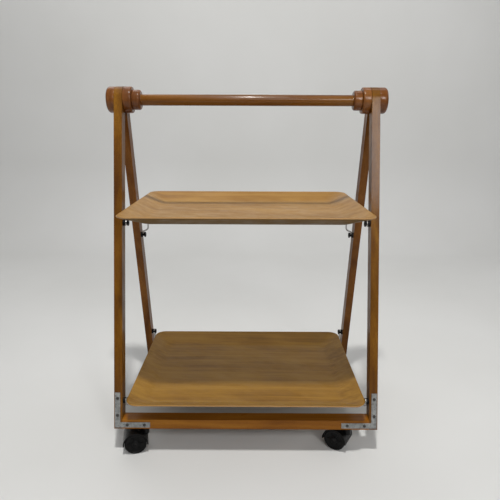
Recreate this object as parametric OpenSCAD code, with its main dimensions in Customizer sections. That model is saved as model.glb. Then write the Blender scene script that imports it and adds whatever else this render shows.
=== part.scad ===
// Folding serving trolley: two beech frames hinged on a round handle, with two moulded
// plywood trays hung between them on spools, and four twin-wheel casters.
// Millimetres, +Z up. The origin is on the floor, under the middle of the whole trolley.
// Front is -Y. Each frame is drawn with n, the distance outwards from the hinge axis square
// to its legs, and s, the distance from the hinge axis down the legs.

/* [Frames] */
// Width over the outer faces of the legs
frame_w = 600; // [590:1:640]
// Height of the hinge axis above the floor
axis_h = 787; // [770:1:800]
// Lean of each frame from the vertical, in degrees
lean = 13.2; // [13:0.1:13.5]
// Thickness of a leg, left to right
leg_t = 18.5; // [18:0.5:20]
// Depth of a leg, front to back
leg_d = 28; // [26:1:28]
// Height of the bottom rails
rail_h = 20; // [18:1:22]

/* [Handle] */
// Diameter of the handle dowel
dowel_d = 25; // [22:1:25]
// Radius of the round leg tops
hub_r = 29.5; // [28:0.5:30]
// Thickness of the end caps
cap_t = 20; // [16:1:22]
// Thickness of the turned collars
collar_t = 18.7; // [16:0.1:20]
// Radius of the turned collars
collar_r = 22.3; // [20:0.1:24]

/* [Trays] */
// Width of a tray over its rim
tray_w = 534; // [524:1:534]
// Depth of a tray over its rim
tray_d = 396; // [390:1:400]
// Height of a tray from its underside to the top of its rim
tray_h = 24.5; // [22:0.5:26]
// Thickness of the plywood
ply = 4; // [3:0.5:5]
// Height of the upper rim above the floor
upper_rim_h = 552.5; // [548:0.5:556]
// Height of the lower rim above the floor
lower_rim_h = 135.5; // [132:0.5:138]
// Distance of the upper tray's middle behind the hinge axis
upper_back = -16; // [-20:1:-12]
// Distance of the lower tray's middle behind the hinge axis
lower_back = -27; // [-30:1:-24]

/* [Casters] */
// Height from the floor to the underside of the rails
caster_h = 60; // [60:1:62]
// Diameter of the wheels
wheel_d = 50; // [46:1:50]
// Distance of each swivel axis from the middle of the trolley
caster_x = 234; // [200:1:240]
// Distance of each axle behind its swivel axis
trail = 22; // [18:1:22]

/* [Hidden] */

// Round sides of curved pieces, and of the small ones
$fn = 96;
SMALL = 48;
// Past the end of a cut, so that it goes right through
CUT = 1;

// Frames
AXIS_Y = 1.6;
LEG_OUT = frame_w / 2;
LEG_IN = LEG_OUT - leg_t;
LEG_MID = LEG_OUT - leg_t / 2;
N_OUT = hub_r;
N_IN = hub_r - leg_d;
LAP_GAP = 0.2;
RUN_GAP = 0.4;
STOP_GAP_DEG = 1;
LEG_TOP_S = 14;
RAIL_TOP = caster_h + rail_h;

// Handle
RUN_CLEAR = 0.05;
KNUCKLE_T = 18.5;
CAP_WALL = 6;
EDGE = 2.5;
CAP_EDGE = 5;
CAP_STEP = 0.3;
// Film of paint or glue between faces that are fixed together
FILM = 0.02;

// Corner plates and their screws
PLATE_ARM = 80;
PLATE_W = 12;
PLATE_T = 1.5;
PLATE_SIDE = 2;
PLATE_UP = 3;
PLATE_HOLES = [28, 67];
SCREW_R = 1.9;
SCREW_HEAD_R = 3.6;
SCREW_HEAD_T = 1.2;
SCREW_LENGTH = 8;

// Spools: distance down the leg and out from the axis
UPPER_FRONT = [284, 18];
LOWER_FRONT = [692, 18];
UPPER_REAR = [349, 9];
LOWER_REAR = [667, 9];
SPOOL_R = 7;
GROOVE_R = 4;
SPOOL_L = 12.5;
GROOVE_FROM = 4.5;
GROOVE_TO = 9.5;
SPOOL_BORE_R = 2;
SPOOL_RECESS_R = 4.4;
SPOOL_RECESS = 3.5;
SPOOL_SCREW_HEAD_R = 4;
SPOOL_SCREW_HEAD_T = 2.6;
SPOOL_SCREW_INTO_LEG = 13;

// Trays: each level is [inset from the rim, height above the floor's face]
FLARE = 56;
RIM_LAND = 0.8;
FLOOR_R = 22;
RIM_R = 26;
LEVEL_T = 0.01;
LEVELS = [[FLARE, 0], [40, 2.6], [20, 10], [RIM_LAND, tray_h - ply]];
HULL_FN = 32;

// Wires and clips
WIRE_R = 1.75;
WIRE_SIDES = 10;
RING_STEPS = 6;
HOOK_R = GROOVE_R + WIRE_R + 0.15;
HOOK_X = LEG_IN - (GROOVE_FROM + GROOVE_TO) / 2;
WIRE_DOWN = 2.2;
CLIP = [12, 24, 5.2];
CLIP_X = 150;
CLIP_SCREW_Y = 8;
CLIP_SCREW_R = 1.4;
CLIP_SCREW_INTO_PLY = 2.6;
CLIP_SCREW_HEAD_R = 2.8;
CLIP_SCREW_HEAD_T = 1.4;
DROP_X = 260;
SPREAD_X = 200;

// Casters
AXLE_R = 3;
AXLE_HALF = 21;
WHEEL_W = 17;
WHEEL_IN = 5;
WHEEL_EDGE = 2.5;
WEB_HALF = 4;
HOOD_HALF = 24;
HOOD_R_IN = wheel_d / 2 + 1;
HOOD_R = wheel_d / 2 + 3.5;
HOOD_FROM = wheel_d / 2 - 2;
WEB_R = 20;
NECK_R = 10;
NECK_FROM = 40;
STEM_R = 4;
STEM_FROM = 42;
SOCKET_R = 5.5;
SOCKET_UP = 18;
FLANGE_R = 9;
FLANGE_T = 1;
STEM_SHORT = 1.5;
CASTER_Y = (rail_y(N_IN, caster_h) + rail_y(N_OUT, RAIL_TOP)) / 2;
// Each caster: [side, end, direction of its trail in degrees from +X]
FRONT_LEFT = [-1, -1, 192];
FRONT_RIGHT = [1, -1, 150];
REAR_LEFT = [-1, 1, 163];
REAR_RIGHT = [1, 1, 172];

// Distance behind the axis, at height z, of the plane that is n outwards
function rail_y(n, z) = (axis_h - z) * tan(lean) + n / cos(lean);
// Distance down the legs of the point that is n outwards and at height z
function rail_s(n, z) = (axis_h - z + n * sin(lean)) / cos(lean);
// Place of a spool in the row frame: [y, z]; end is -1 at the front and 1 at the rear
function spool_y(spot, end) = AXIS_Y + end * (spot[0] * sin(lean) + spot[1] * cos(lean));
function spool_z(spot) = axis_h - spot[0] * cos(lean) + spot[1] * sin(lean);
// A point of a hook's ring, at an angle from +Y towards +Z
function ring_point(y, z, angle) = [HOOK_X, y + HOOK_R * cos(angle), z + HOOK_R * sin(angle)];
// The part of a hook that lies in a spool's groove
function hook_ring(y, z, from, step) = [for (i = [0 : RING_STEPS]) ring_point(y, z, from + i * step)];

// ---- Placing ----

// Both sides: draws its children on the right and mirrored on the left
module both_sides() {
    children();
    mirror([1, 0, 0]) children();
}

module side(which) {
    if (which > 0) children();
    else mirror([1, 0, 0]) children();
}

// Rear frame's own axes: +Y square to the legs, outwards, and -Z down the legs
module leaning(end) {
    translate([0, AXIS_Y, axis_h])
        mirror([0, end < 0 ? 1 : 0, 0])
            rotate([lean, 0, 0])
                children();
}

// A profile drawn in [y, z] and extruded along +X from x_from to x_to
module along_x(x_from, x_to) {
    translate([x_from, 0, 0])
        rotate([90, 0, 90])
            linear_extrude(x_to - x_from)
                children();
}

module disc_x(x_from, x_to, r) {
    translate([x_from, 0, 0])
        rotate([0, 90, 0])
            cylinder(h = x_to - x_from, r = r);
}

// A turned ring on the hinge axis, with its edges taken off
module turned_x(x_from, x_to, r, bore_r, edge_from, edge_to) {
    translate([x_from, 0, 0])
        rotate([90, 0, 90])
            rotate_extrude()
                polygon([
                    [bore_r, 0],
                    [r - edge_from, 0],
                    [r, edge_from],
                    [r, x_to - x_from - edge_to],
                    [r - edge_to, x_to - x_from],
                    [bore_r, x_to - x_from]
                ]);
}

// ---- Frames ----

// A leg's bar, from the hinge axis down to the level cut at its foot
module leg_bar() {
    along_x(LEG_IN, LEG_OUT)
        polygon([
            [N_IN, 0],
            [N_OUT, 0],
            [N_OUT, -rail_s(N_OUT, caster_h)],
            [N_IN, -rail_s(N_IN, caster_h)]
        ]);
}

// The recess on the inner half of a front leg top that takes the rear leg's tongue.
// Its upper face is the stop that the tongue meets when the frames are open.
module tongue_recess() {
    reach = 2 * hub_r;
    stop = 90 + 2 * lean + STOP_GAP_DEG;
    along_x(LEG_IN - CUT, LEG_MID + LAP_GAP)
        polygon([
            [N_IN, 0],
            [0, 0],
            [-reach * sin(stop), -reach * cos(stop)],
            [-reach, -reach],
            [N_IN, -reach]
        ]);
}

// Holes in a leg for the screws of its plate and its two spools
module leg_screw_holes(end, upper, lower) {
    plate_screw_holes(end);
    for (spot = [upper, lower])
        at_spool(spot, end)
            translate([0, 0, -SPOOL_SCREW_INTO_LEG])
                cylinder(h = SPOOL_SCREW_INTO_LEG + CUT, r = SPOOL_BORE_R, $fn = SMALL);
}

module plate_screw_holes(end) {
    leaning(end)
        at_plate_screws()
            rotate([-90, 0, 0])
                translate([0, 0, -SCREW_LENGTH])
                    cylinder(h = SCREW_LENGTH + CUT, r = SCREW_R, $fn = SMALL);
}

module front_leg(which) {
    color("peru")
        side(which)
            difference() {
                leaning(-1)
                    difference() {
                        union() {
                            leg_bar();
                            disc_x(LEG_IN, LEG_OUT, hub_r);
                        }
                        disc_x(LEG_IN - CUT, LEG_OUT + CUT, dowel_d / 2);
                        disc_x(LEG_IN - CUT, LEG_IN + RUN_GAP, hub_r + CUT);
                        tongue_recess();
                    }
                leg_screw_holes(-1, UPPER_FRONT, LOWER_FRONT);
            }
}

// The outer half stops short of the front leg's round top; the inner half is the tongue
module rear_leg(which) {
    color("peru")
        side(which)
            difference() {
                leaning(1)
                    difference() {
                        leg_bar();
                        disc_x(LEG_IN - CUT, LEG_OUT + CUT, dowel_d / 2 + RUN_GAP);
                        disc_x(LEG_MID, LEG_OUT + CUT, hub_r + RUN_GAP);
                        along_x(LEG_MID, LEG_OUT + CUT)
                            translate([0, -LEG_TOP_S])
                                square([N_OUT + CUT, LEG_TOP_S + CUT]);
                    }
                leg_screw_holes(1, UPPER_REAR, LOWER_REAR);
            }
}

// A rail has level top and bottom faces, and front and back faces that lean with the legs
module rail(end) {
    color("peru")
        difference() {
            translate([0, AXIS_Y, 0])
                mirror([0, end < 0 ? 1 : 0, 0])
                    along_x(-LEG_IN, LEG_IN)
                        polygon([
                            [rail_y(N_IN, caster_h), caster_h],
                            [rail_y(N_OUT, caster_h), caster_h],
                            [rail_y(N_OUT, RAIL_TOP), RAIL_TOP],
                            [rail_y(N_IN, RAIL_TOP), RAIL_TOP]
                        ]);
            both_sides() {
                translate([caster_x, AXIS_Y + end * CASTER_Y, caster_h - CUT])
                    cylinder(h = SOCKET_UP + CUT, r = SOCKET_R);
                plate_screw_holes(end);
            }
        }
}

// ---- Handle ----

module handle_dowel() {
    half = LEG_OUT + cap_t - CAP_WALL;
    color("peru")
        translate([0, AXIS_Y, axis_h])
            disc_x(-half, half, dowel_d / 2);
}

module collar(which) {
    out = LEG_IN - KNUCKLE_T - RUN_GAP;
    color("peru")
        translate([0, AXIS_Y, axis_h])
            side(which)
                turned_x(out - collar_t, out, collar_r, dowel_d / 2, EDGE, EDGE / 2);
}

// The round top of a rear leg: it is glued to the leg's tongue and turns on the dowel
module knuckle(which) {
    color("peru")
        side(which)
            leaning(1)
                turned_x(LEG_IN - KNUCKLE_T, LEG_IN, hub_r, dowel_d / 2 + RUN_CLEAR, EDGE, EDGE / 4);
}

module cap(which) {
    color("peru")
        translate([0, AXIS_Y, axis_h])
            side(which)
                difference() {
                    turned_x(LEG_OUT + FILM, LEG_OUT + cap_t, hub_r - CAP_STEP, 0, EDGE / 4, CAP_EDGE);
                    disc_x(LEG_OUT - CUT, LEG_OUT + cap_t - CAP_WALL, dowel_d / 2);
                }
}

// ---- Corner plates ----

PLATE_X = LEG_OUT - PLATE_SIDE;
PLATE_S = rail_s(N_OUT, caster_h) - PLATE_UP;

module plate_outline() {
    square([PLATE_ARM, PLATE_W]);
    square([PLATE_W, PLATE_ARM]);
}

// Draws its children at each screw of a plate, on the leg's outer face
module at_plate_screws() {
    for (hole = PLATE_HOLES) {
        translate([PLATE_X - PLATE_W / 2, N_OUT, hole - PLATE_S]) children();
        translate([PLATE_X - hole, N_OUT, PLATE_W / 2 - PLATE_S]) children();
    }
}

module plate(which, end) {
    color("silver")
        side(which)
            leaning(end)
                difference() {
                    translate([PLATE_X, N_OUT + PLATE_T + FILM, -PLATE_S])
                        rotate([90, 0, 0])
                            linear_extrude(PLATE_T)
                                mirror([1, 0, 0])
                                    plate_outline();
                    at_plate_screws()
                        rotate([-90, 0, 0])
                            cylinder(h = 2 * PLATE_T, r = SCREW_R, $fn = SMALL);
                }
}

module plate_screws(end) {
    color("gray")
        both_sides()
            leaning(end)
                at_plate_screws()
                    rotate([-90, 0, 0]) {
                        translate([0, 0, PLATE_T + FILM])
                            cylinder(h = SCREW_HEAD_T, r = SCREW_HEAD_R, $fn = SMALL);
                        translate([0, 0, -SCREW_LENGTH])
                            cylinder(h = SCREW_LENGTH + PLATE_T + FILM, r = SCREW_R, $fn = SMALL);
                    }
}

// ---- Spools ----

// Draws its children at a spool, with +Z pointing from the leg's inner face inwards
module at_spool(spot, end) {
    leaning(end)
        translate([LEG_IN, spot[1], -spot[0]])
            rotate([0, -90, 0])
                children();
}

module spools(spot, end) {
    color("black")
        both_sides()
            at_spool(spot, end)
                rotate_extrude($fn = SMALL)
                    polygon([
                        [SPOOL_BORE_R, 0],
                        [SPOOL_R, 0],
                        [SPOOL_R, GROOVE_FROM],
                        [GROOVE_R, GROOVE_FROM],
                        [GROOVE_R, GROOVE_TO],
                        [SPOOL_R, GROOVE_TO],
                        [SPOOL_R, SPOOL_L],
                        [SPOOL_RECESS_R, SPOOL_L],
                        [SPOOL_RECESS_R, SPOOL_L - SPOOL_RECESS],
                        [SPOOL_BORE_R, SPOOL_L - SPOOL_RECESS]
                    ]);
}

module spool_screws(upper, lower, end) {
    color("gray")
        both_sides()
            for (spot = [upper, lower])
                at_spool(spot, end)
                    rotate_extrude($fn = SMALL)
                        polygon([
                            [0, -SPOOL_SCREW_INTO_LEG],
                            [SPOOL_BORE_R, -SPOOL_SCREW_INTO_LEG],
                            [SPOOL_BORE_R, SPOOL_L - SPOOL_RECESS],
                            [SPOOL_SCREW_HEAD_R, SPOOL_L - SPOOL_RECESS],
                            [SPOOL_SCREW_HEAD_R, SPOOL_L - SPOOL_RECESS + SPOOL_SCREW_HEAD_T],
                            [0, SPOOL_L - SPOOL_RECESS + SPOOL_SCREW_HEAD_T]
                        ]);
}

// ---- Trays ----

module tray_outline(inset) {
    part_way = inset / FLARE;
    r = RIM_R + (FLOOR_R - RIM_R) * part_way;
    x = tray_w / 2 - inset - r;
    y = tray_d / 2 - inset - r;
    for (sx = [-x, x], sy = [-y, y])
        translate([sx, sy])
            circle(r = r, $fn = HULL_FN);
}

// A bowl with a flat bottom: the hull of the tray's outline at each level
module tray_bowl(levels, top) {
    hull() {
        for (level = levels)
            translate([0, 0, level[1]])
                linear_extrude(LEVEL_T)
                    tray_outline(level[0]);
        translate([0, 0, levels[len(levels) - 1][1]])
            linear_extrude(top)
                tray_outline(levels[len(levels) - 1][0]);
    }
}

// A moulded plywood tray with a rim that flares out all round
module tray(back, rim_h, wires) {
    under = [for (level = LEVELS) [max(level[0] - RIM_LAND, 0), level[1]]];
    color("burlywood")
        difference() {
            translate([0, AXIS_Y + back, rim_h - tray_h])
                tray_bowl(under, ply);
            translate([0, AXIS_Y + back, rim_h - tray_h + ply])
                tray_bowl(LEVELS, CUT);
            at_clip_screws(wires, rim_h)
                translate([0, 0, -CUT])
                    cylinder(h = CUT + CLIP_SCREW_INTO_PLY, r = CLIP_SCREW_R, $fn = WIRE_SIDES);
        }
}

// ---- Wires and clips under the trays ----

// A bent wire along the points, rounded at each bend and end
module bent_wire(points) {
    for (i = [1 : len(points) - 1])
        hull()
            for (point = [points[i - 1], points[i]])
                translate(point)
                    sphere(r = WIRE_R, $fn = WIRE_SIDES);
}

// Under the upper tray, its front hooks reach over the front spools
module wire_upper_front() {
    y = spool_y(UPPER_FRONT, -1);
    z = spool_z(UPPER_FRONT);
    wire_z = upper_rim_h - tray_h - WIRE_DOWN;
    color("lightgray")
        both_sides()
            bent_wire(concat(
                [[0, y + 12, wire_z], [HOOK_X, y + 12, wire_z]],
                hook_ring(y, z, 40, 30)
            ));
}

// Its rear hooks come down to the lower rear spools
module wire_upper_rear() {
    y = spool_y(UPPER_REAR, 1);
    z = spool_z(UPPER_REAR);
    wire_z = upper_rim_h - tray_h - WIRE_DOWN;
    color("lightgray")
        both_sides()
            bent_wire(concat(
                [
                    [0, y - 9, wire_z],
                    [DROP_X, y - 9, wire_z],
                    [DROP_X, y - 9, z + 16],
                    [HOOK_X, y - 6, z + 10]
                ],
                hook_ring(y, z, 140, -30)
            ));
}

// Under the lower tray, both wires spread out and rise beside its rim to the spools
module wire_lower_front() {
    y = spool_y(LOWER_FRONT, -1);
    z = spool_z(LOWER_FRONT);
    wire_z = lower_rim_h - tray_h - WIRE_DOWN;
    color("lightgray")
        both_sides()
            bent_wire(concat(
                [
                    [0, y + 26, wire_z],
                    [SPREAD_X, y + 26, wire_z],
                    [HOOK_X, y - HOOK_R, wire_z]
                ],
                hook_ring(y, z, 180, -25)
            ));
}

module wire_lower_rear() {
    y = spool_y(LOWER_REAR, 1);
    z = spool_z(LOWER_REAR);
    wire_z = lower_rim_h - tray_h - WIRE_DOWN;
    color("lightgray")
        both_sides()
            bent_wire(concat(
                [
                    [0, y - 62, wire_z],
                    [SPREAD_X, y - 62, wire_z],
                    [HOOK_X, y + HOOK_R, wire_z]
                ],
                hook_ring(y, z, 0, 23)
            ));
}

// Where the wires cross under a tray: y of the front one and of the rear one
UPPER_WIRES = [spool_y(UPPER_FRONT, -1) + 12, spool_y(UPPER_REAR, 1) - 9];
LOWER_WIRES = [spool_y(LOWER_FRONT, -1) + 26, spool_y(LOWER_REAR, 1) - 62];

module at_clips(wires, rim_h) {
    for (sx = [-CLIP_X, CLIP_X], y = wires)
        translate([sx, y, rim_h - tray_h])
            children();
}

// Draws its children at each clip screw, on the underside of the tray
module at_clip_screws(wires, rim_h) {
    at_clips(wires, rim_h)
        for (sy = [-CLIP_SCREW_Y, CLIP_SCREW_Y])
            translate([0, sy, 0])
                children();
}

// Blocks that hold the wires against the underside of a tray
module clips(wires, rim_h) {
    color("black")
        difference() {
            at_clips(wires, rim_h)
                difference() {
                    translate([-CLIP[0] / 2, -CLIP[1] / 2, -CLIP[2]])
                        cube(CLIP);
                    translate([-CLIP[0], 0, -WIRE_DOWN])
                        rotate([0, 90, 0])
                            cylinder(h = 2 * CLIP[0], r = WIRE_R + RUN_CLEAR, $fn = SMALL);
                }
            at_clip_screws(wires, rim_h)
                translate([0, 0, -CLIP[2] - CUT])
                    cylinder(h = CLIP[2] + 2 * CUT, r = CLIP_SCREW_R, $fn = WIRE_SIDES);
        }
}

module clip_screws(wires, rim_h) {
    color("gray")
        at_clip_screws(wires, rim_h)
            translate([0, 0, -CLIP[2]]) {
                cylinder(h = CLIP[2] + CLIP_SCREW_INTO_PLY, r = CLIP_SCREW_R, $fn = WIRE_SIDES);
                translate([0, 0, -CLIP_SCREW_HEAD_T])
                    cylinder(h = CLIP_SCREW_HEAD_T, r = CLIP_SCREW_HEAD_R, $fn = SMALL);
            }
}

// ---- Casters ----

// A caster's own axes: +Z up its swivel axis from the floor, +X along its trail
module at_caster(spot) {
    translate([spot[0] * caster_x, AXIS_Y + spot[1] * CASTER_Y, 0])
        rotate([0, 0, spot[2]])
            children();
}

module across(y_from, y_to, r) {
    translate([trail, y_to, wheel_d / 2])
        rotate([90, 0, 0])
            cylinder(h = y_to - y_from, r = r);
}

// A steel sleeve pressed up into the rail
module socket(spot) {
    color("gray")
        at_caster(spot)
            difference() {
                union() {
                    translate([0, 0, caster_h - FLANGE_T])
                        cylinder(h = FLANGE_T, r = FLANGE_R);
                    translate([0, 0, caster_h - FLANGE_T])
                        cylinder(h = FLANGE_T + SOCKET_UP, r = SOCKET_R);
                }
                translate([0, 0, caster_h - FLANGE_T - CUT])
                    cylinder(h = SOCKET_UP + 4 * CUT, r = STEM_R + RUN_CLEAR);
            }
}

module stem(spot) {
    color("silver")
        at_caster(spot)
            translate([0, 0, STEM_FROM])
                cylinder(h = caster_h + SOCKET_UP - STEM_SHORT - STEM_FROM, r = STEM_R);
}

// The hood: a web between the wheels, a shell over them and a neck round the stem
module hood(spot) {
    color([0.09, 0.09, 0.1])
        at_caster(spot)
            difference() {
                union() {
                    intersection() {
                        across(-HOOD_HALF, HOOD_HALF, HOOD_R);
                        translate([trail - HOOD_R, -HOOD_HALF, HOOD_FROM])
                            cube([2 * HOOD_R, 2 * HOOD_HALF, 2 * HOOD_R]);
                    }
                    across(-WEB_HALF, WEB_HALF, WEB_R);
                    translate([0, 0, NECK_FROM])
                        cylinder(h = caster_h - FLANGE_T - RUN_GAP - NECK_FROM, r = NECK_R);
                }
                across(WEB_HALF, HOOD_HALF + CUT, HOOD_R_IN);
                across(-HOOD_HALF - CUT, -WEB_HALF, HOOD_R_IN);
                across(-WEB_HALF - CUT, WEB_HALF + CUT, AXLE_R + RUN_CLEAR);
                translate([0, 0, STEM_FROM])
                    cylinder(h = caster_h, r = STEM_R);
            }
}

module axle(spot) {
    color("silver")
        at_caster(spot)
            across(-AXLE_HALF, AXLE_HALF, AXLE_R);
}

// The two wheels of a caster are fixed on its axle
module wheels(spot) {
    color([0.12, 0.12, 0.13])
        at_caster(spot)
            translate([trail, 0, wheel_d / 2])
                for (turn = [90, -90])
                    rotate([turn, 0, 0])
                        translate([0, 0, WHEEL_IN])
                            rotate_extrude()
                                polygon([
                                    [AXLE_R, 0],
                                    [wheel_d / 2 - WHEEL_EDGE, 0],
                                    [wheel_d / 2, WHEEL_EDGE],
                                    [wheel_d / 2, WHEEL_W - WHEEL_EDGE],
                                    [wheel_d / 2 - WHEEL_EDGE, WHEEL_W],
                                    [AXLE_R, WHEEL_W]
                                ]);
}

// ---- The nodes ----

front_leg(-1);  // front_leg_left
front_leg(1);  // front_leg_right
rail(-1);  // front_rail
handle_dowel();
collar(-1);  // collar_left
collar(1);  // collar_right
cap(-1);  // cap_left
cap(1);  // cap_right
rear_leg(-1);  // rear_leg_left
rear_leg(1);  // rear_leg_right
rail(1);  // rear_rail
knuckle(-1);  // knuckle_left
knuckle(1);  // knuckle_right
plate(-1, -1);  // plate_front_left
plate(1, -1);  // plate_front_right
plate(-1, 1);  // plate_rear_left
plate(1, 1);  // plate_rear_right
plate_screws(-1);  // plate_screws_front
plate_screws(1);  // plate_screws_rear
spools(UPPER_FRONT, -1);  // spools_front_upper
spools(LOWER_FRONT, -1);  // spools_front_lower
spools(UPPER_REAR, 1);  // spools_rear_upper
spools(LOWER_REAR, 1);  // spools_rear_lower
spool_screws(UPPER_FRONT, LOWER_FRONT, -1);  // spool_screws_front
spool_screws(UPPER_REAR, LOWER_REAR, 1);  // spool_screws_rear
tray(upper_back, upper_rim_h, UPPER_WIRES);  // tray_upper
tray(lower_back, lower_rim_h, LOWER_WIRES);  // tray_lower
wire_upper_front();
wire_upper_rear();
wire_lower_front();
wire_lower_rear();
clips(UPPER_WIRES, upper_rim_h);  // clips_upper
clips(LOWER_WIRES, lower_rim_h);  // clips_lower
clip_screws(UPPER_WIRES, upper_rim_h);  // clip_screws_upper
clip_screws(LOWER_WIRES, lower_rim_h);  // clip_screws_lower
socket(FRONT_LEFT);  // socket_front_left
socket(FRONT_RIGHT);  // socket_front_right
socket(REAR_LEFT);  // socket_rear_left
socket(REAR_RIGHT);  // socket_rear_right
stem(FRONT_LEFT);  // stem_front_left
stem(FRONT_RIGHT);  // stem_front_right
stem(REAR_LEFT);  // stem_rear_left
stem(REAR_RIGHT);  // stem_rear_right
hood(FRONT_LEFT);  // hood_front_left
hood(FRONT_RIGHT);  // hood_front_right
hood(REAR_LEFT);  // hood_rear_left
hood(REAR_RIGHT);  // hood_rear_right
axle(FRONT_LEFT);  // axle_front_left
axle(FRONT_RIGHT);  // axle_front_right
axle(REAR_LEFT);  // axle_rear_left
axle(REAR_RIGHT);  // axle_rear_right
wheels(FRONT_LEFT);  // wheels_front_left
wheels(FRONT_RIGHT);  // wheels_front_right
wheels(REAR_LEFT);  // wheels_rear_left
wheels(REAR_RIGHT);  // wheels_rear_right
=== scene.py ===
"""Looks of the folding serving trolley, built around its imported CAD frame, +Z up."""

import math

import bmesh
import bpy
from mathutils import Matrix, Vector


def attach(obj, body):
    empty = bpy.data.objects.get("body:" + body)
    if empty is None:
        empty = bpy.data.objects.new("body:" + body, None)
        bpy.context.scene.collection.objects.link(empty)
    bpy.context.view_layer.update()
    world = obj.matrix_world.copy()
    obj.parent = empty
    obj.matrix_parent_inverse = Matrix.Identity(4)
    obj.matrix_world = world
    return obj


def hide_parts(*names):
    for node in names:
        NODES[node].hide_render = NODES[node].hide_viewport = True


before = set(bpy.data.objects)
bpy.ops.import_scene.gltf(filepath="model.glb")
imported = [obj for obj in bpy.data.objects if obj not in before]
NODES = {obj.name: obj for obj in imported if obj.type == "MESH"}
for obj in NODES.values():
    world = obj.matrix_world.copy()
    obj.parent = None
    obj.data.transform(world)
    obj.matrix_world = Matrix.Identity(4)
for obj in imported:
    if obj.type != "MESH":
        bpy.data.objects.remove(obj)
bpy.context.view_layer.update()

# Sizes are in millimetres, as in the CAD; new_mesh turns them into metres
MM = 0.001
LEAN = math.radians(13.2)
AXIS_Y = 1.6
AXIS_H = 787.0
HUB_R = 29.5
RAIL_BOTTOM, RAIL_TOP = 60.0, 80.0
LEG_INNER_X = 281.5
LEG_OUTER_X = 300.0


# ---- Materials ----

class Mat:
    """A node material under construction, with short names for the nodes it uses."""

    def __init__(self, name):
        self.mat = bpy.data.materials.new(name)
        self.mat.use_nodes = True
        self.nt = self.mat.node_tree
        self.nt.nodes.clear()
        self.out = self.add("ShaderNodeOutputMaterial")
        self.bsdf = self.add("ShaderNodeBsdfPrincipled")
        self.link(self.bsdf.outputs[0], self.out.inputs[0])

    def add(self, kind, **props):
        node = self.nt.nodes.new(kind)
        for key, value in props.items():
            setattr(node, key, value)
        return node

    def link(self, a, b):
        self.nt.links.new(a, b)

    def coords(self, scale=(1, 1, 1), rot=(0, 0, 0), loc=(0, 0, 0)):
        tex = self.add("ShaderNodeTexCoord")
        turn = self.add("ShaderNodeMapping", vector_type="POINT")
        turn.inputs["Rotation"].default_value = rot
        turn.inputs["Location"].default_value = loc
        self.link(tex.outputs["Object"], turn.inputs["Vector"])
        size = self.add("ShaderNodeMapping", vector_type="POINT")
        size.inputs["Scale"].default_value = scale
        self.link(turn.outputs[0], size.inputs["Vector"])
        return size.outputs[0]

    def noise(self, vec, scale, detail=4.0, rough=0.55, distort=0.0):
        n = self.add("ShaderNodeTexNoise")
        n.inputs["Scale"].default_value = scale
        n.inputs["Detail"].default_value = detail
        n.inputs["Roughness"].default_value = rough
        n.inputs["Distortion"].default_value = distort
        self.link(vec, n.inputs["Vector"])
        return n.outputs["Fac"]

    def ramp(self, fac, stops):
        r = self.add("ShaderNodeValToRGB")
        while len(r.color_ramp.elements) < len(stops):
            r.color_ramp.elements.new(0.5)
        for el, (pos, col) in zip(r.color_ramp.elements, stops):
            el.position = pos
            el.color = (*col, 1)
        self.link(fac, r.inputs[0])
        return r.outputs[0]

    def grey(self, fac, lo, hi, p0=0.3, p1=0.7):
        return self.ramp(fac, [(p0, (lo, lo, lo)), (p1, (hi, hi, hi))])

    def mix(self, fac, a, b):
        m = self.add("ShaderNodeMix", data_type="RGBA")
        for sock, val in ((m.inputs[0], fac), (m.inputs[6], a), (m.inputs[7], b)):
            if isinstance(val, (int, float)):
                sock.default_value = val
            elif isinstance(val, tuple):
                sock.default_value = (*val, 1)
            else:
                self.link(val, sock)
        return m.outputs[2]

    def bump(self, *layers):
        """Each layer is (height socket, strength, distance in metres)."""
        normal = None
        for height, strength, dist in layers:
            b = self.add("ShaderNodeBump")
            b.inputs["Strength"].default_value = strength
            b.inputs["Distance"].default_value = dist
            self.link(height, b.inputs["Height"])
            if normal:
                self.link(normal, b.inputs["Normal"])
            normal = b.outputs[0]
        self.link(normal, self.bsdf.inputs["Normal"])

    def set(self, **values):
        for key, val in values.items():
            sock = self.bsdf.inputs[key.replace("_", " ")]
            if isinstance(val, bpy.types.NodeSocket):
                self.link(val, sock)
            elif isinstance(val, tuple):
                sock.default_value = (*val, 1)
            else:
                sock.default_value = val


def grained_wood(name, rot=(0, 0, 0), light=(0.235, 0.100, 0.006), mid=(0.155, 0.058, 0.002),
                 dark=(0.075, 0.024, 0.001), gloss=0.34, coat=0.08, loc=(0, 0, 0)):
    """Wood whose grain runs along local X after the turn rot."""
    m = Mat(name)
    broad = m.noise(m.coords((2.2, 34, 34), rot, loc), 1.0, 3.0, 0.5, 0.6)
    fine = m.noise(m.coords((9, 420, 420), rot, loc), 1.0, 5.0, 0.6, 0.2)
    pores = m.noise(m.coords((60, 1500, 1500), rot, loc), 1.0, 2.0, 0.5)
    rays = m.noise(m.coords((240, 900, 900), rot, loc), 1.0, 1.0, 0.4)
    col = m.ramp(broad, [(0.28, dark), (0.5, mid), (0.72, light)])
    col = m.mix(m.grey(fine, 0.0, 0.55, 0.35, 0.75), col, dark)
    col = m.mix(m.grey(rays, 0.0, 0.35, 0.6, 0.72), col, tuple(c * 0.55 for c in dark))
    col = m.mix(m.grey(pores, 0.0, 0.22, 0.5, 0.75), col, light)
    wear = m.noise(m.coords((14, 26, 26), rot, loc), 1.0, 4.0, 0.65)
    m.set(Base_Color=col, Roughness=m.grey(wear, gloss * 0.75, gloss * 1.6, 0.3, 0.75),
          Coat_Weight=coat, Coat_Roughness=0.14, Specular_IOR_Level=0.14)
    m.bump((fine, 0.16, 0.0004), (pores, 0.10, 0.0002), (wear, 0.05, 0.0008))
    return m.mat


GRAIN_TURN = (0, 0, math.radians(1.5))
PLY_LAYERS = 0.0016  # one pale and one dark layer, in metres


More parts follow.
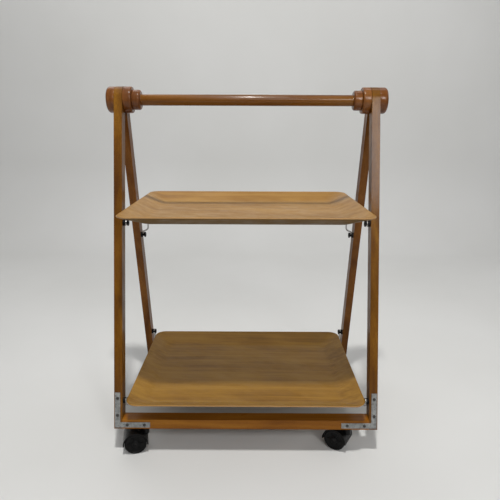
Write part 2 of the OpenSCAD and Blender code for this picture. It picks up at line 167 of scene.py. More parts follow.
def tray_veneer(name, light, mid, dark, loc=(0, 0, 0)):
    """A honey veneer with its grain left to right, pale ply layers on its edge and an underside painted
    dark as painted shade, with less gloss.
    """
    m = Mat(name)
    warp = m.noise(m.coords((1.4, 5.0, 5.0), (0, 0, 0), loc), 1.0, 2.0, 0.5)
    vec = m.coords((2.2, 62.0, 62.0), GRAIN_TURN, loc)
    shift = m.add("ShaderNodeVectorMath", operation="MULTIPLY_ADD")
    m.link(warp, shift.inputs[0])
    shift.inputs[1].default_value = (0.0, 1.6, 0.0)
    m.link(vec, shift.inputs[2])
    broad = m.noise(shift.outputs[0], 1.0, 4.0, 0.55, 0.5)
    lines = m.noise(m.coords((4.5, 260, 260), GRAIN_TURN, loc), 1.0, 5.0, 0.62, 0.25)
    pores = m.noise(m.coords((42, 1300, 1300), GRAIN_TURN, loc), 1.0, 2.0, 0.5)
    patch = m.noise(m.coords((7.0, 16.0, 16.0), (0, 0, 0.25), loc), 1.0, 4.0, 0.6)
    col = m.ramp(broad, [(0.18, dark), (0.48, mid), (0.80, light)])
    col = m.mix(m.grey(lines, 0.0, 0.5, 0.42, 0.78), col, tuple(c * 0.8 for c in dark))
    col = m.mix(m.grey(pores, 0.0, 0.3, 0.55, 0.75), col, tuple(c * 0.6 for c in dark))
    col = m.mix(m.grey(patch, 0.0, 0.55, 0.38, 0.68), col, light)
    sep = m.add("ShaderNodeSeparateXYZ")
    m.link(m.coords(), sep.inputs[0])
    layer = m.add("ShaderNodeMath", operation="SINE")
    scaled = m.add("ShaderNodeMath", operation="MULTIPLY")
    m.link(sep.outputs[2], scaled.inputs[0])
    scaled.inputs[1].default_value = 2 * math.pi / PLY_LAYERS
    m.link(scaled.outputs[0], layer.inputs[0])
    plies = m.ramp(layer.outputs[0], [(0.35, (0.50, 0.30, 0.13)), (0.65, (0.25, 0.12, 0.045))])
    edge = m.add("ShaderNodeAttribute", attribute_name="edge_face")
    col = m.mix(edge.outputs["Fac"], col, plies)
    # Underside faces are painted dark brown: painted shade for the shadow under the tray; they also get
    # no coat and little specular.
    under = m.add("ShaderNodeAttribute", attribute_name="painted_shade_under_face")
    painted_underside_shade = m.mix(m.grey(lines, 0.0, 0.6), (0.150, 0.080, 0.010), (0.075, 0.036, 0.004))
    col = m.mix(under.outputs["Fac"], col, painted_underside_shade)
    scuff = m.noise(m.coords((22, 40, 40), (0, 0, 0.4), loc), 1.0, 5.0, 0.7)
    m.set(Base_Color=col, Roughness=m.grey(scuff, 0.30, 0.52, 0.35, 0.75),
          Coat_Weight=m.grey(under.outputs["Fac"], 0.05, 0.0, 0.0, 1.0), Coat_Roughness=0.28,
          Specular_IOR_Level=m.grey(under.outputs["Fac"], 0.20, 0.04, 0.0, 1.0))
    m.bump((lines, 0.12, 0.0004), (pores, 0.10, 0.0002))
    return m.mat


def galvanised(name):
    m = Mat(name)
    vor = m.add("ShaderNodeTexVoronoi")
    vor.inputs["Scale"].default_value = 260
    m.link(m.coords(), vor.inputs["Vector"])
    cloud = m.noise(m.coords(), 90, 5.0, 0.6)
    spangle = m.mix(0.5, vor.outputs["Color"], m.grey(cloud, 0.2, 0.9))
    bw = m.add("ShaderNodeRGBToBW")
    m.link(spangle, bw.inputs[0])
    col = m.ramp(bw.outputs[0], [(0.2, (0.20, 0.205, 0.205)), (0.8, (0.42, 0.43, 0.42))])
    stain = m.noise(m.coords(), 38, 4.0, 0.7)
    col = m.mix(m.grey(stain, 0.0, 0.5, 0.55, 0.8), col, (0.16, 0.12, 0.085))
    m.set(Base_Color=col, Metallic=0.75, Roughness=m.grey(cloud, 0.36, 0.6))
    m.bump((cloud, 0.12, 0.0003))
    return m.mat


def plain_metal(name, col, rough=0.3, metallic=1.0, tarnish=(0.10, 0.075, 0.05)):
    m = Mat(name)
    n = m.noise(m.coords(), 420, 4.0, 0.6)
    spots = m.noise(m.coords(), 130, 5.0, 0.7)
    c = m.mix(m.grey(spots, 0.0, 0.6, 0.55, 0.8), col, tarnish)
    m.set(Base_Color=c, Metallic=metallic, Roughness=m.grey(n, rough * 0.8, rough * 1.5))
    m.bump((n, 0.06, 0.0002))
    return m.mat


def black_plastic(name, rough, col=(0.006, 0.006, 0.007), dust=0.12):
    m = Mat(name)
    grainy = m.noise(m.coords(), 1800, 2.0, 0.5)
    dusty = m.noise(m.coords(), 75, 6.0, 0.7)
    c = m.mix(m.grey(dusty, 0.0, dust, 0.5, 0.85), col, (0.07, 0.065, 0.058))
    m.set(Base_Color=c, Roughness=m.grey(dusty, rough * 0.8, rough * 1.4, 0.35, 0.8),
          Specular_IOR_Level=0.15)
    m.bump((grainy, 0.08, 0.0002))
    return m.mat


DOWN = math.pi / 2
BEECH_FRONT = grained_wood("beech_front_leg", (0, DOWN, 0), gloss=0.38, coat=0.2)
BEECH_REAR = grained_wood("beech_rear_leg", (0, DOWN, 0), light=(0.27, 0.110, 0.018),
                          mid=(0.18, 0.065, 0.008), dark=(0.09, 0.028, 0.003), loc=(0.3, 0.1, 0))
BEECH_RAIL = grained_wood("beech_rail", light=(0.42, 0.175, 0.018), mid=(0.30, 0.110, 0.009),
                          dark=(0.15, 0.045, 0.003), loc=(0.1, 0.4, 0.2))
BEECH_DOWEL = grained_wood("beech_handle", light=(0.235, 0.096, 0.014), mid=(0.160, 0.058, 0.007),
                           dark=(0.080, 0.025, 0.002), gloss=0.30, coat=0.25, loc=(0.7, 0.2, 0.1))
BEECH_HUB = grained_wood("beech_hub", (0, DOWN, 0), light=(0.260, 0.105, 0.026),
                         mid=(0.180, 0.063, 0.014), dark=(0.090, 0.027, 0.006), gloss=0.28, coat=0.35)
VENEER_UP = tray_veneer("tray_veneer_upper", (0.40, 0.225, 0.060), (0.30, 0.150, 0.030),
                        (0.17, 0.072, 0.010))
VENEER_LOW = tray_veneer("tray_veneer_lower", (0.37, 0.198, 0.028), (0.255, 0.122, 0.010),
                         (0.135, 0.054, 0.003), (0.37, 0.61, 0.2))
GALV = galvanised("galvanised_plate")
SCREW = plain_metal("screw_steel", (0.085, 0.08, 0.075), 0.38, 0.9, (0.03, 0.022, 0.015))
AXLE = plain_metal("axle_steel", (0.03, 0.03, 0.031), 0.4)
WIRE = plain_metal("wire_steel", (0.42, 0.41, 0.40), 0.28)
STEEL = plain_metal("turned_steel", (0.45, 0.45, 0.46), 0.25)
BLACK = black_plastic("black_moulding", 0.42, dust=0.05)
HOOD = black_plastic("caster_hood_plastic", 0.30, (0.003, 0.003, 0.003), 0.04)
TREAD = black_plastic("caster_tread", 0.55, (0.004, 0.004, 0.004), 0.08)


# ---- Helpers ----

def new_mesh(name, verts, faces, mat):
    """A smooth mesh piece from vertices in millimetres."""
    mesh = bpy.data.meshes.new(name)
    mesh.from_pydata([Vector(v) * MM for v in verts], [], faces)
    mesh.validate()
    ob = bpy.data.objects.new(name, mesh)
    bpy.context.scene.collection.objects.link(ob)
    ob.data.materials.append(mat)
    fix_normals(ob)
    smooth(ob)
    return ob


def smooth(ob):
    for face in ob.data.polygons:
        face.use_smooth = True


def fix_normals(ob):
    bm = bmesh.new()
    bm.from_mesh(ob.data)
    bmesh.ops.recalc_face_normals(bm, faces=bm.faces)
    bm.to_mesh(ob.data)
    bm.free()


def sharp_by_angle(ob, degrees):
    bpy.context.view_layer.objects.active = ob
    for other in bpy.context.selected_objects:
        other.select_set(False)
    ob.select_set(True)
    bpy.ops.object.shade_smooth_by_angle(angle=math.radians(degrees))


def soften(ob, width, segments):
    """Welds the imported mesh's split edges and rounds its corners."""
    seams = ob.modifiers.new("weld", "WELD")
    seams.merge_threshold = 0.00001
    bev = ob.modifiers.new("round", "BEVEL")
    bev.width = width * MM
    bev.segments = segments
    bev.limit_method = "ANGLE"
    bev.angle_limit = math.radians(32)
    bev.harden_normals = False
    bev.miter_outer = "MITER_ARC"
    bev.use_clamp_overlap = True
    smooth(ob)
    wn = ob.modifiers.new("normals", "WEIGHTED_NORMAL")
    wn.keep_sharp = True
    wn.weight = 80


def dress(node, mat, width, segments):
    """Gives a CAD node its material and rounds its corners by width."""
    ob = NODES[node]
    ob.data.materials.clear()
    ob.data.materials.append(mat)
    soften(ob, width, segments)


def piece(ob, body, slot, *nodes):
    """Makes ob ride on the body in place of the CAD nodes."""
    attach(ob, body)
    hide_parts(*nodes)


def lathe(profile, place, steps):
    """Vertices and faces of a ring turned about local Z; profile is its section, [(radius, z)]."""
    verts, faces = [], []
    loop = profile + [profile[0]]
    n = len(loop)
    for i in range(steps):
        a = 2 * math.pi * i / steps
        for r, z in loop:
            verts.append(place @ Vector((r * math.cos(a), r * math.sin(a), z)))
    for i in range(steps):
        for k in range(n - 1):
            a, b = i * n + k, ((i + 1) % steps) * n + k
            faces.append((a, b, b + 1, a + 1))
    return verts, faces


def joined(parts):
    """Vertices and faces of several shapes as one."""
    verts, faces = [], []
    for v, f in parts:
        base = len(verts)
        verts += v
        faces += [tuple(i + base for i in face) for face in f]
    return verts, faces


def weld(ob, dist=0.00002):
    """Merges points closer than dist and faces the result outwards."""
    bm = bmesh.new()
    bm.from_mesh(ob.data)
    bmesh.ops.remove_doubles(bm, verts=bm.verts, dist=dist)
    bmesh.ops.dissolve_degenerate(bm, dist=dist, edges=bm.edges)
    bmesh.ops.recalc_face_normals(bm, faces=bm.faces)
    bm.to_mesh(ob.data)
    bm.free()


def arc(cx, cz, r, a0, a1, steps=6):
    """Points of an arc about (cx, cz), angles in degrees."""
    return [(cx + r * math.cos(math.radians(a0 + (a1 - a0) * i / steps)),
             cz + r * math.sin(math.radians(a0 + (a1 - a0) * i / steps))) for i in range(steps + 1)]


def leaning(end):
    """Matrix from a leaning frame's own axes (+Y outwards, -Z down the legs) to the trolley's."""
    m = Matrix.Translation((0, AXIS_Y, AXIS_H))
    if end < 0:
        m = m @ Matrix.Scale(-1, 4, (0, 1, 0))
    return m @ Matrix.Rotation(LEAN, 4, "X")


# ---- Frames: the CAD legs, rails and turned pieces with rounded edges ----

for which in ("left", "right"):
    dress("front_leg_" + which, BEECH_FRONT, 2.0, 4)
    dress("rear_leg_" + which, BEECH_REAR, 2.0, 4)
dress("front_rail", BEECH_RAIL, 1.6, 3)
dress("rear_rail", BEECH_RAIL, 1.6, 3)

ALONG_X = Matrix.Rotation(math.pi / 2, 4, "Y")


def turned(name, x_from, x_to, r, bore, e0, e1, side, mat):
    """A ring on the hinge axis, its edges rounded by e0 at x_from and by e1 at x_to."""
    length = x_to - x_from
    prof = [(bore, 0)] + arc(r - e0, e0, e0, -90, 0) + arc(r - e1, length - e1, e1, 0, 90)
    prof += [(bore, length)]
    place = Matrix.Translation((0, AXIS_Y, AXIS_H)) @ Matrix.Scale(side, 4, (1, 0, 0))
    place = place @ Matrix.Translation((x_from, 0, 0)) @ ALONG_X
    ob = new_mesh(name, *lathe(prof, place, 96), mat)
    weld(ob)
    sharp_by_angle(ob, 50)
    return ob


DOWEL_R, DOWEL_END = 12.5, 313.9
COLLAR_R, COLLAR_X = 22.3, (243.9, 262.6)
KNUCKLE_X = (263.0, LEG_INNER_X)
CAP_R, CAP_X = HUB_R - 0.3, (LEG_OUTER_X, 320.0)
SOLID = 0.02  # the hairline bore of a turned piece that has none

for which, side in (("left", -1), ("right", 1)):
    piece(turned("turned_collar_" + which, *COLLAR_X, COLLAR_R, DOWEL_R, 4.5, 1.2, side, BEECH_HUB),
          "front_frame", "beech", "collar_" + which)
    piece(turned("turned_knuckle_" + which, *KNUCKLE_X, HUB_R, DOWEL_R + 0.05, 3.2, 1.2, side, BEECH_HUB),
          "rear_frame", "beech", "knuckle_" + which)
    piece(turned("turned_cap_" + which, *CAP_X, CAP_R, SOLID, 1.6, 6.5, side, BEECH_HUB),
          "front_frame", "beech", "cap_" + which)

piece(turned("turned_handle", -DOWEL_END, DOWEL_END, DOWEL_R, SOLID, 1.5, 1.5, 1, BEECH_DOWEL),
      "front_frame", "beech_dowel", "handle_dowel")


# ---- Trays ----

CORNER_STEPS = 14
SIDE_STEPS = 10


def rounded_outline(hx, hy, r):
    """Points round a rounded rectangle, the same number whatever its size."""
    pts = []
    for cx, cy, start in ((1, 1, 0), (-1, 1, 90), (-1, -1, 180), (1, -1, 270)):
        for i in range(CORNER_STEPS + 1):
            a = math.radians(start + 90 * i / CORNER_STEPS)
            pts.append(((hx - r) * cx + r * math.cos(a), (hy - r) * cy + r * math.sin(a)))
    out = []
    n = len(pts)
    for i in range(n):
        a, b = pts[i], pts[(i + 1) % n]
        out.append(a)
        if (i + 1) % (CORNER_STEPS + 1) == 0:
            for k in range(1, SIDE_STEPS):
                t = k / SIDE_STEPS
                out.append((a[0] + (b[0] - a[0]) * t, a[1] + (b[1] - a[1]) * t))
    return out


TRAY_W, TRAY_D, TRAY_H, PLY = 534.0, 396.0, 24.5, 4.0
FLARE, FLARE_STEPS, BEND = 54.0, 22, 0.24
UPPER_RIM, LOWER_RIM = 552.5, 135.5
FLOOR_INSETS = (140.0, 100.0, 74.0)


def flare_profile():
    """Inset and height from the floor's edge to the rim: a short bend, then a straight flare."""
    points = []
    for i in range(FLARE_STEPS + 1):
        t = i / FLARE_STEPS
        part = t * t / (2 * BEND) if t < BEND else t - BEND / 2
        points.append((FLARE * (1 - t) + 1.2 * t, (TRAY_H - PLY) * part / (1 - BEND / 2)))
    return points


def tray_rings():
    """Inset, height and edge mark of each ring, from the floor's top over the rim to its underside."""
    flare = flare_profile()
    rings = [(inset, PLY, 0) for inset in FLOOR_INSETS] + [(inset, z + PLY, 0) for inset, z in flare]
    rings += [(0.45, TRAY_H - 0.1, 0), (0.1, TRAY_H - 0.5, 1), (0.0, TRAY_H - 1.2, 1),
              (0.0, TRAY_H - 2.0, 1), (0.15, TRAY_H - 2.8, 1), (0.6, TRAY_H - 3.4, 1)]
    rings += [(inset, z, 0) for inset, z in reversed(flare[:-1])]
    return rings + [(inset, 0.0, 0) for inset in reversed(FLOOR_INSETS)]


def tray(name, back, rim_h, mat, body, node):
    """A moulded tray whose centre stands back from the axis and whose rim is at rim_h."""
    base = rim_h - TRAY_H
    rings = tray_rings()
    verts, faces, edge, under = [], [], [], []
    first_edge = next(k for k, (_, _, mark) in enumerate(rings) if mark)
    for inset, z, _ in rings:
        r = max(26.0 - min(inset, 60.0) * 0.12, 12.0)
        pts = rounded_outline(TRAY_W / 2 - inset, TRAY_D / 2 - inset, r)
        count = len(pts)
        verts += [(x, AXIS_Y + back + y, base + z) for x, y in pts]
    for k in range(len(rings) - 1):
        for i in range(count):
            j = (i + 1) % count
            faces.append((k * count + i, k * count + j, (k + 1) * count + j, (k + 1) * count + i))
            edge.append(1.0 if rings[k][2] and rings[k + 1][2] else 0.0)
            # Underside faces, marked for the painted shade in the veneer
            under.append(1.0 if k > first_edge and not rings[k + 1][2] else 0.0)
    last = (len(rings) - 1) * count
    faces.append(tuple(range(count)))
    faces.append(tuple(last + i for i in reversed(range(count))))
    edge += [0.0, 0.0]
    under += [0.0, 1.0]
    ob = new_mesh(name, verts, faces, mat)
    for word, values in (("edge_face", edge), ("painted_shade_under_face", under)):
        ob.data.attributes.new(word, "FLOAT", "FACE").data.foreach_set("value", values)
    sharp_by_angle(ob, 60)
    piece(ob, body, "tray_ply", node)


tray("moulded_tray_upper", -16.0, UPPER_RIM, VENEER_UP, "upper_shelf", "tray_upper")
tray("moulded_tray_lower", -27.0, LOWER_RIM, VENEER_LOW, "lower_shelf", "tray_lower")


# ---- Wires ----

WIRE_R = 1.75
WIRE_SIDES = 14
WIRE_FILLET, FILLET_STEPS = 7.0, 6
HOOK_R = 5.9
HOOK_X = 274.5
RING_STEPS = 14
SIN, COS = math.sin(LEAN), math.cos(LEAN)


def filleted(points):
    """A path through the points with each corner rounded."""
    pts = [Vector(p) for p in points]
    out = [pts[0]]
    for a, b, c in zip(pts, pts[1:], pts[2:]):
        u, v = (a - b), (c - b)
        r = min(WIRE_FILLET, u.length * 0.45, v.length * 0.45)
        p, q = b + u.normalized() * r, b + v.normalized() * r
        for i in range(FILLET_STEPS + 1):
            t = i / FILLET_STEPS
            out.append(p * (1 - t) ** 2 + b * (2 * t * (1 - t)) + q * t * t)
    out.append(pts[-1])
    return out


def wire_tube(name, pts):
    """A closed tube along the points, with rounded ends."""
    verts, faces = [], []
    tangents = []
    for i in range(len(pts)):
        t = pts[min(i + 1, len(pts) - 1)] - pts[max(i - 1, 0)]
        tangents.append(t.normalized())
    side = tangents[0].orthogonal().normalized()
    rings = []
    for i, (p, t) in enumerate(zip(pts, tangents)):
        side = (side - t * side.dot(t)).normalized()
        up = t.cross(side)
        if i == 0:
            rings += [(p - t * WIRE_R * 0.85, side, up, 0.45), (p - t * WIRE_R * 0.4, side, up, 0.9)]
        rings.append((p, side, up, 1.0))
        if i == len(pts) - 1:
            rings += [(p + t * WIRE_R * 0.4, side, up, 0.9), (p + t * WIRE_R * 0.85, side, up, 0.45)]
    for p, s, u, k in rings:
        for j in range(WIRE_SIDES):
            a = 2 * math.pi * j / WIRE_SIDES
            verts.append(p + (s * math.cos(a) + u * math.sin(a)) * WIRE_R * k)
    for i in range(len(rings) - 1):
        a, b = i * WIRE_SIDES, (i + 1) * WIRE_SIDES
        for j in range(WIRE_SIDES):
            k = (j + 1) % WIRE_SIDES
            faces.append((a + j, a + k, b + k, b + j))
    last = (len(rings) - 1) * WIRE_SIDES
    faces.append(tuple(reversed(range(WIRE_SIDES))))
    faces.append(tuple(last + j for j in range(WIRE_SIDES)))
    return new_mesh(name, verts, faces, WIRE)


def spool(s, n, end):
    """The Y and Z of a spool's centre, from its place on the leaning frame."""
    return AXIS_Y + end * (s * SIN + n * COS), AXIS_H - s * COS + n * SIN


# Distance down the leg from the axis, offset outwards, and front (-1) or rear (1)
SPOTS = {"front_upper": (284, 18, -1), "front_lower": (692, 18, -1),
         "rear_upper": (349, 9, 1), "rear_lower": (667, 9, 1)}


def ring(y, z, start, sweep):
    """The points of a hook round a spool at y, z, angles in degrees."""
    return [(HOOK_X, py, pz) for py, pz in arc(y, z, HOOK_R, start, start + sweep, RING_STEPS)]


def hooked_wire(name, lead, hook, body, node):
    """A wire that is the same left and right: lead is its right half up to the hook."""
    half = filleted(lead + [hook[0]]) + [Vector(p) for p in hook[1:]]
    left = [Vector((-p.x, p.y, p.z)) for p in reversed(half)]
    piece(wire_tube(name, left + half[1:]), body, "wire_steel", node)


# How far each wire's straight run lies behind its spools
RUN_BACK = {"front_upper": 12, "rear_upper": -9, "front_lower": 26, "rear_lower": -62}
UNDER_TRAY = TRAY_H + 2.2
DROP_X = 260
SLANT_X = 200


def run_y(key):
    """Y of the straight run of a wire under its tray."""
    return spool(*SPOTS[key])[0] + RUN_BACK[key]


def make_wires():
    upper_z, lower_z = UPPER_RIM - UNDER_TRAY, LOWER_RIM - UNDER_TRAY
    run = run_y("front_upper")
    hooked_wire("bent_wire_upper_front", [(0, run, upper_z), (HOOK_X, run, upper_z)],
                ring(*spool(*SPOTS["front_upper"]), 40, 180), "upper_shelf", "wire_upper_front")
    y, z = spool(*SPOTS["rear_upper"])
    run = run_y("rear_upper")
    hooked_wire("bent_wire_upper_rear",
                [(0, run, upper_z), (DROP_X, run, upper_z), (DROP_X, run, z + 16),
                 (HOOK_X, y - 6, z + 10)],
                ring(y, z, 140, -180), "upper_shelf", "wire_upper_rear")
    for word, out, start, sweep in (("front", -HOOK_R, 180, -150), ("rear", HOOK_R, 0, 138)):
        y, z = spool(*SPOTS[word + "_lower"])
        run = run_y(word + "_lower")
        hooked_wire("bent_wire_lower_" + word,
                    [(0, run, lower_z), (SLANT_X, run, lower_z), (HOOK_X, y + out, lower_z)],
                    ring(y, z, start, sweep), "lower_shelf", "wire_lower_" + word)


make_wires()

for node in ("clips_upper", "clips_lower"):
    dress(node, BLACK, 1.0, 3)


# ---- Spools and screws ----

SPOOL_HEAD = 9.0


def leg_face(side, spot, out=0.0):
    """Matrix on a leg's inner face at a spool's place, with local Z pointing inwards, out mm off it."""
    s, n, end = spot
    return (Matrix.Scale(side, 4, (1, 0, 0)) @ leaning(end)
            @ Matrix.Translation((LEG_INNER_X - out, n, -s)) @ Matrix.Rotation(-math.pi / 2, 4, "Y"))


def spool_pair(name, spot, body, node):
    """The left and right spools at one spot: a flange, a groove and a recessed head."""
    prof = [(2.0, 0.0), (6.6, 0.0)] + arc(6.6, 0.4, 0.4, -60, 0, 3)
    prof += arc(6.5, 4.0, 0.5, 0, 70, 3) + [(4.6, 4.9)] + arc(4.7, 5.6, 0.7, 200, 180, 3)
    prof += [(4.0, 8.6), (4.6, 9.2)] + arc(6.5, 9.9, 0.5, -70, 0, 3) + arc(6.0, 11.5, 1.0, 0, 90, 4)
    prof += [(4.4, 12.5), (4.4, SPOOL_HEAD), (2.0, SPOOL_HEAD)]
    ob = new_mesh(name, *joined([lathe(prof, leg_face(side, spot), 40) for side in (-1, 1)]), BLACK)
    weld(ob)
    sharp_by_angle(ob, 45)
    piece(ob, body, "black_plastic", node)


for key, spot in SPOTS.items():
    spool_pair("turned_spools_" + key, spot, key.split("_")[0] + "_frame", "spools_" + key)


def screw_shape(head_r, head_t, shank_r, shank_l):
    """Vertices and faces of a cross-recessed pan-head screw along +Z, its head's underside at 0."""
    prof = [(SOLID, -shank_l), (shank_r, -shank_l), (shank_r, 0.0), (head_r, 0.0)]
    prof += [(head_r * math.cos(math.radians(a)), head_t * (0.25 + 0.75 * math.sin(math.radians(a))))
             for a in (8, 22, 38, 55, 72, 88)]
    verts, faces = lathe(prof + [(SOLID, head_t)], Matrix.Identity(4), 28)
    mesh = bpy.data.meshes.new("screw_blank")
    mesh.from_pydata(verts, [], faces)
    ob = bpy.data.objects.new("screw_blank", mesh)
    bpy.context.scene.collection.objects.link(ob)
    weld(ob, 0.03)
    arm, deep, wide = head_r * 0.62, head_t * 0.65, head_r * 0.13
    bm = bmesh.new()
    for turn in (0, math.pi / 2):
        m = Matrix.Rotation(turn + 0.3, 4, "Z") @ Matrix.Translation((0, 0, head_t * 1.1))
        bmesh.ops.create_cube(bm, size=1.0, matrix=m @ Matrix.Diagonal((arm * 2, wide * 2, deep * 2, 1)))
    cut_mesh = bpy.data.meshes.new("screw_cut")
    bm.to_mesh(cut_mesh)
    bm.free()
    cutter = bpy.data.objects.new("screw_cut", cut_mesh)
    bpy.context.scene.collection.objects.link(cutter)
    cross = ob.modifiers.new("cross", "BOOLEAN")
    cross.operation = "DIFFERENCE"
    cross.solver = "EXACT"
    cross.use_self = True
    cross.object = cutter
    bpy.context.view_layer.update()
    done = ob.evaluated_get(bpy.context.evaluated_depsgraph_get()).to_mesh()
    shape = ([v.co.copy() for v in done.vertices], [tuple(p.vertices) for p in done.polygons])
    for gone in (ob, cutter):
        bpy.data.objects.remove(gone)
    return shape


def screws(name, shape, places, body, node):
    """Copies of a screw at the places, each turned a little further than the last."""
    parts = []
    for i, place in enumerate(places):
        m = place @ Matrix.Rotation(i * 1.1, 4, "Z")
        parts.append(([m @ v for v in shape[0]], shape[1]))
    ob = new_mesh(name, *joined(parts), SCREW)
    sharp_by_angle(ob, 35)
    piece(ob, body, "screw_steel", node)


PLATE_X = 298.0
PLATE_S = (AXIS_H - RAIL_BOTTOM + HUB_R * SIN) / COS - 3.0
PLATE_T = 1.5
PLATE_HOLES = ((6.0, 28.0), (6.0, 67.0), (28.0, 6.0), (67.0, 6.0))


def plate_screw_places(end):
    out = []
    for side in (-1, 1):
        base = Matrix.Scale(side, 4, (1, 0, 0)) @ leaning(end)
        for dx, dz in PLATE_HOLES:
            out.append(base @ Matrix.Translation((PLATE_X - dx, HUB_R + PLATE_T, dz - PLATE_S))
                       @ Matrix.Rotation(-math.pi / 2, 4, "X"))
    return out


plate_screw = screw_shape(3.5, 1.5, 1.9, 9.0)
spool_screw = screw_shape(3.8, 2.2, 2.0, 21.0)
clip_screw = screw_shape(2.8, 1.4, 1.35, 7.0)
for end, word in ((-1, "front"), (1, "rear")):
    screws("pan_screws_plate_" + word, plate_screw, plate_screw_places(end), word + "_frame",
           "plate_screws_" + word)
    spots = [leg_face(side, SPOTS[word + "_" + level], SPOOL_HEAD)
             for level in ("upper", "lower") for side in (-1, 1)]
    screws("pan_screws_spool_" + word, spool_screw, spots, word + "_frame", "spool_screws_" + word)

CLIP_X, CLIP_SCREW_Y, CLIP_T = 150, 8, 5.2
for level, rim in (("upper", UPPER_RIM), ("lower", LOWER_RIM)):
    spots = [Matrix.Translation((x, run_y(end + level) + dy, rim - TRAY_H - CLIP_T))
             @ Matrix.Rotation(math.pi, 4, "X")
             for x in (-CLIP_X, CLIP_X) for end in ("front_", "rear_")
             for dy in (-CLIP_SCREW_Y, CLIP_SCREW_Y)]
    screws("pan_screws_clip_" + level, clip_screw, spots, level + "_shelf", "clip_screws_" + level)


# ---- Corner plates ----

for which in ("left", "right"):
    for word in ("front", "rear"):
        dress("plate_" + word + "_" + which, GALV, 0.35, 2)


# ---- Casters ----

# Side, end, and the heading of the trail in degrees
CASTERS = {"front_left": (-1, -1, 192), "front_right": (1, -1, 150),
           "rear_left": (-1, 1, 163), "rear_right": (1, 1, 172)}


def rail_y(n, z):
    """How far from the axis a face of the leaning rail, n mm out, stands at height z."""
    return (AXIS_H - z) * math.tan(LEAN) + n / COS


CASTER_X = 234.0
CASTER_Y = (rail_y(1.5, RAIL_BOTTOM) + rail_y(HUB_R, RAIL_TOP)) / 2
WHEEL_R = 25.0
TRAIL = 22.0


def caster_place(key):
    side, end, heading = CASTERS[key]
    return (Matrix.Translation((side * CASTER_X, AXIS_Y + end * CASTER_Y, 0))
            @ Matrix.Rotation(math.radians(heading), 4, "Z"))


def wheel_profile():
    """Half of a twin wheel, from its inner face at 5 to its dished outer face at 22."""
    p = [(3.02, 5.0), (21.0, 5.0)] + arc(22.8, 7.2, 2.2, -90, 0, 5) + arc(22.8, 19.6, 2.2, 0, 80, 5)
    p += [(21.6, 21.9), (20.6, 21.2), (20.2, 19.8), (18.8, 19.0), (12.5, 18.2), (9.2, 18.6)]
    p += [(8.4, 19.4), (7.9, 21.0)] + arc(6.6, 20.9, 1.1, 0, 90, 4) + [(3.02, 22.0)]
    return p


def caster(key):
    place = caster_place(key) @ Matrix.Translation((TRAIL, 0, WHEEL_R))
    sides = [place @ Matrix.Rotation(turn, 4, "X") for turn in (math.pi / 2, -math.pi / 2)]
    parts = [lathe(wheel_profile(), side, 72) for side in sides]
    parts += [spoke_bar(side @ Matrix.Rotation(k * math.pi / 3, 4, "Z"))
              for side in sides for k in range(6)]
    ob = new_mesh("twin_wheels_" + key, *joined(parts), TREAD)
    weld(ob)
    sharp_by_angle(ob, 40)
    piece(ob, "wheels_body_" + key, "tread", "wheels_" + key)
    dress("hood_" + key, HOOD, 1.4, 4)
    dress("axle_" + key, AXLE, 0.5, 2)
    for node in ("stem_", "socket_"):
        dress(node + key, STEEL, 0.3, 2)


def spoke_bar(place):
    """A low rib on a wheel's dished face, running out from its hub."""
    half, z0 = 1.1, 17.4
    pts = []
    for r, k, top in ((7.4, 1.0, 20.2), (19.6, 0.75, 19.6)):
        pts += [(r, -half * k, z0), (r, half * k, z0), (r, half * k * 0.6, top),
                (r, -half * k * 0.6, top)]
    verts = [place @ Vector(p) for p in pts]
    return verts, [(0, 1, 2, 3), (7, 6, 5, 4), (0, 4, 5, 1), (1, 5, 6, 2), (2, 6, 7, 3), (3, 7, 4, 0)]


for key in CASTERS:
    caster(key)


# ---- Floor, light and camera ----

def backdrop():
    """A pale floor that curves up into a wall behind the trolley."""
    m = Mat("studio_paper")
    n = m.noise(m.coords(), 1.4, 3.0, 0.5)
    m.set(Base_Color=m.ramp(n, [(0.3, (0.66, 0.66, 0.645)), (0.7, (0.70, 0.70, 0.69))]),
          Roughness=0.75)
    wall_y, curve, half_width = 2000.0, 500.0, 6000.0
    prof = [(-5000.0, 0.0), (-2000.0, 0.0), (0.0, 0.0), (1300.0, 0.0)]
    prof += arc(wall_y - curve, curve, curve, -90, 0, 18)
    prof += [(wall_y, 2000.0), (wall_y, 4500.0)]
    verts = [(x, y, z) for y, z in prof for x in (-half_width, 0.0, half_width)]
    faces = []
    for i in range(len(prof) - 1):
        for j in range(2):
            faces.append((i * 3 + j, i * 3 + j + 1, (i + 1) * 3 + j + 1, (i + 1) * 3 + j))
    ob = new_mesh("studio_backdrop", verts, faces, m.mat)


def area_light(name, loc, target, size, power, color=(1, 1, 1)):
    light = bpy.data.lights.new(name, "AREA")
    light.shape = "RECTANGLE"
    light.size, light.size_y = size
    light.energy = power
    light.color = color
    ob = bpy.data.objects.new(name, light)
    ob.location = loc
    ob.rotation_euler = (Vector(target) - Vector(loc)).to_track_quat("-Z", "Y").to_euler()
    bpy.context.scene.collection.objects.link(ob)


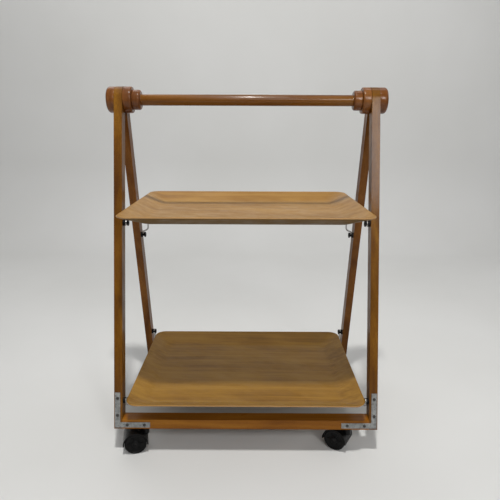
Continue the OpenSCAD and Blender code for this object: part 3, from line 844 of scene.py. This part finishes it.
def lights():
    """A small lamp overhead, lit panels in front, and soft light from the sides and behind; in metres."""
    area_light("key_above", (0.0, -0.88, 3.0), (0, 0, 0), (0.15, 0.15), 50, (1.0, 0.99, 0.965))
    area_light("front_high", (0.15, -2.6, 2.1), (0, 0, 0.5), (0.9, 0.7), 15)
    area_light("window_front", (0.95, -2.4, 1.72), (0, 0, 0.5), (0.45, 0.80), 15, (1.0, 0.995, 0.985))
    area_light("fill_left", (-2.4, -2.2, 1.4), (0, 0, 0.5), (1.6, 1.6), 5, (0.98, 0.99, 1.0))
    area_light("rear_soft", (-1.1, 1.7, 2.6), (0, 0, 0.3), (1.6, 1.2), 10)
    area_light("side_soft", (2.3, 0.5, 1.7), (0, 0, 0.4), (1.0, 1.0), 5)
    area_light("wall_wash", (0.2, 0.75, 2.9), (0.1, 2.0, 0.8), (2.2, 0.5), 12)
    world = bpy.data.worlds.new("studio_world")
    world.use_nodes = True
    world.node_tree.nodes["Background"].inputs[0].default_value = (0.96, 0.97, 1.0, 1)
    world.node_tree.nodes["Background"].inputs[1].default_value = 0.13
    bpy.context.scene.world = world
    bpy.context.scene.view_settings.view_transform = "Standard"


def camera():
    """A camera in front of the trolley, a little below its handle and looking down."""
    pitch, yaw, roll = math.radians(14.48), -0.0016, 0.0038
    forward = Vector((yaw * math.cos(pitch), math.cos(pitch), -math.sin(pitch))).normalized()
    right = forward.cross(Vector((0, 0, 1))).normalized()
    up = right.cross(forward)
    right_r = right * math.cos(roll) + up * math.sin(roll)
    up_r = -right * math.sin(roll) + up * math.cos(roll)
    rot = Matrix((right_r, up_r, -forward)).transposed()
    data = bpy.data.cameras.new("camera")
    data.sensor_width = 36.0
    data.lens = 0.9726 * data.sensor_width
    data.clip_start = 0.05
    ob = bpy.data.objects.new("camera", data)
    ob.matrix_world = Matrix.Translation((0.0098, -1.1727 + AXIS_Y * MM, 0.7332)) @ rot.to_4x4()
    bpy.context.scene.collection.objects.link(ob)
    bpy.context.scene.camera = ob


backdrop()
lights()
camera()
